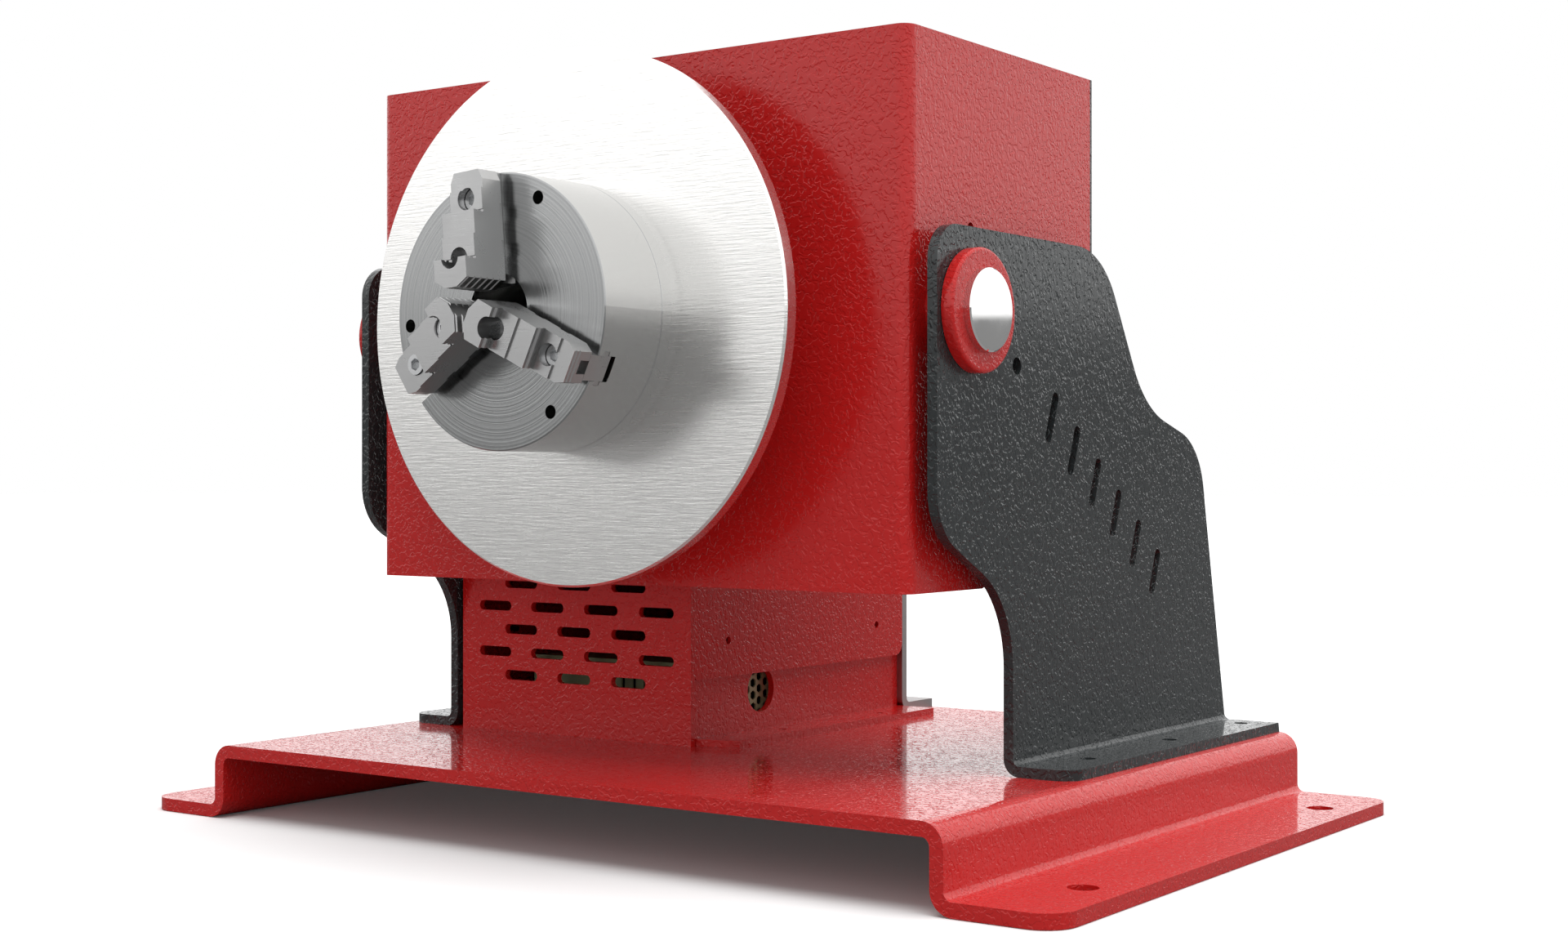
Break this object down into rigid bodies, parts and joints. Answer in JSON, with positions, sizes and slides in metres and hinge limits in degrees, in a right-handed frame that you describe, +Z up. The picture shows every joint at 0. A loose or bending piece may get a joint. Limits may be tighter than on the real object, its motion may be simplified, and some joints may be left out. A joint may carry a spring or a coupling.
{
  "type": "welding positioner",
  "caption": "Bench welding positioner: tilting housing on two side brackets turns a steel faceplate with a self-centring jaw chuck, above a vented control box on a raised bolt-down base.",
  "frame": {"origin": "midway between the four base bolt holes, on the plane of the bench", "axes": "+Z up, the chuck looks along -Y, +X to the right seen from the front"},
  "size_m": [0.5406, 0.4204, 0.3774],
  "materials": {
    "red_powder_coat": "textured powder coat",
    "dark_powder_coat": "textured powder coat",
    "zinc_screws": "zinc plated",
    "black_screws": "black oxide",
    "bare_steel_sheet": "cold rolled",
    "black_plastic": "moulded",
    "gloss_black_plastic": "moulded",
    "satin_metal": "satin",
    "olive_plated_sheet": "passivated",
    "terminal_plastic": "moulded",
    "circuit_board": "solder mask",
    "polished_steel": "ground and polished",
    "machined_steel": "turned",
    "motor_paint": "satin",
    "brushed_faceplate": "brushed in straight lines",
    "chuck_steel": "fine turned",
    "jaw_steel": "ground"
  },
  "bodies": {
    "frame": {"base_plate": "red_powder_coat", "bracket_right": "dark_powder_coat", "bracket_left": "dark_powder_coat", "bracket_bolts": "zinc_screws", "box_chassis": "red_powder_coat", "box_cover": "red_powder_coat", "box_cover_screws": "black_screws", "box_screws": "zinc_screws", "rear_panel": "bare_steel_sheet", "mains_inlet": "black_plastic", "inlet_screws": "black_screws", "power_switch": "black_plastic", "speed_dial": "zinc_screws", "pedal_socket": "satin_metal", "power_supply_case": "olive_plated_sheet", "power_supply_terminals": "terminal_plastic", "speed_controller": "circuit_board"},
    "rocker": {"power_rocker": "gloss_black_plastic"},
    "knob": {"speed_knob": "black_plastic"},
    "tilt_head": {"housing_wrap": "red_powder_coat", "housing_lid": "red_powder_coat", "housing_belly": "red_powder_coat", "housing_back_cover": "dark_powder_coat", "housing_screws": "black_screws", "trunnion_boss_right": "red_powder_coat", "trunnion_boss_left": "red_powder_coat", "trunnion_pin_right": "polished_steel", "trunnion_pin_left": "polished_steel", "bearing_housing": "machined_steel", "bearing_outer_rings": "polished_steel", "bearing_rollers": "polished_steel", "motor_plate": "bare_steel_sheet", "drive_motor": "motor_paint"},
    "drive_pinion": {"motor_pinion": "machined_steel"},
    "spindle": {"bearing_inner_rings": "polished_steel", "bearing_spacer": "machined_steel", "spindle_shaft": "machined_steel", "spindle_gear": "machined_steel", "spindle_nut": "machined_steel", "faceplate": "brushed_faceplate", "faceplate_bolts": "black_screws", "chuck_adapter": "chuck_steel", "chuck_body": "chuck_steel", "chuck_bolts": "black_screws"},
    "scroll": {"scroll_plate": "machined_steel"},
    "key_pinion": {"chuck_pinion": "machined_steel"},
    "jaw_1": {"master_jaw_1": "jaw_steel", "top_jaw_1": "jaw_steel", "jaw_screws_1": "zinc_screws"},
    "jaw_2": {"master_jaw_2": "jaw_steel", "top_jaw_2": "jaw_steel", "jaw_screws_2": "zinc_screws"},
    "jaw_3": {"master_jaw_3": "jaw_steel", "top_jaw_3": "jaw_steel", "jaw_screws_3": "zinc_screws"}
  },
  "joints": [
    {"name": "head_tilt", "type": "hinge", "parent": "frame", "child": "tilt_head", "pos_m": [0, -0.0938, 0.2495], "axis": [-1, 0, 0], "range_deg": [0, 70]},
    {"name": "spindle_spin", "type": "hinge", "parent": "tilt_head", "child": "spindle", "pos_m": [0, -0.211, 0.2495], "axis": [0, -1, 0], "continuous": true},
    {"name": "motor_spin", "type": "hinge", "parent": "tilt_head", "child": "drive_pinion", "pos_m": [0.032, -0.052, 0.30493], "axis": [0, -1, 0], "continuous": true},
    {"name": "scroll_turn", "type": "hinge", "parent": "spindle", "child": "scroll", "pos_m": [0, -0.211, 0.2495], "axis": [0, 1, 0], "range_deg": [-22.5, 495]},
    {"name": "key_turn", "type": "hinge", "parent": "spindle", "child": "key_pinion", "pos_m": [-0.04505, -0.1832, 0.27118], "axis": [-0.9011, 0, 0.4337], "range_deg": [-168.75, 3712.5]},
    {"name": "power_rocker_tilt", "type": "hinge", "parent": "frame", "child": "rocker", "pos_m": [-0.08087, 0.1499, 0.088], "axis": [0, 0, 1], "range_deg": [-13, 0]},
    {"name": "speed_knob_turn", "type": "hinge", "parent": "frame", "child": "knob", "pos_m": [-0.11581, 0.16, 0.088], "axis": [0, 1, 0], "range_deg": [0, 270]},
    {"name": "jaw_1_slide", "type": "slide", "parent": "spindle", "child": "jaw_1", "axis": [-0.075, 0, 0.9972], "range_m": [-0.0005, 0.011]},
    {"name": "jaw_2_slide", "type": "slide", "parent": "spindle", "child": "jaw_2", "axis": [-0.8261, 0, -0.5635], "range_m": [-0.0005, 0.011]},
    {"name": "jaw_3_slide", "type": "slide", "parent": "spindle", "child": "jaw_3", "axis": [0.9011, 0, -0.4337], "range_m": [-0.0005, 0.011]}
  ],
  "couplings": [
    {"joint": "motor_spin", "follows": "spindle_spin", "ratio": -3},
    {"joint": "key_turn", "follows": "scroll_turn", "ratio": 7.5},
    {"joint": "jaw_1_slide", "follows": "scroll_turn", "m_per_rad": 0.0012732},
    {"joint": "jaw_2_slide", "follows": "scroll_turn", "m_per_rad": 0.0012732},
    {"joint": "jaw_3_slide", "follows": "scroll_turn", "m_per_rad": 0.0012732}
  ]
}
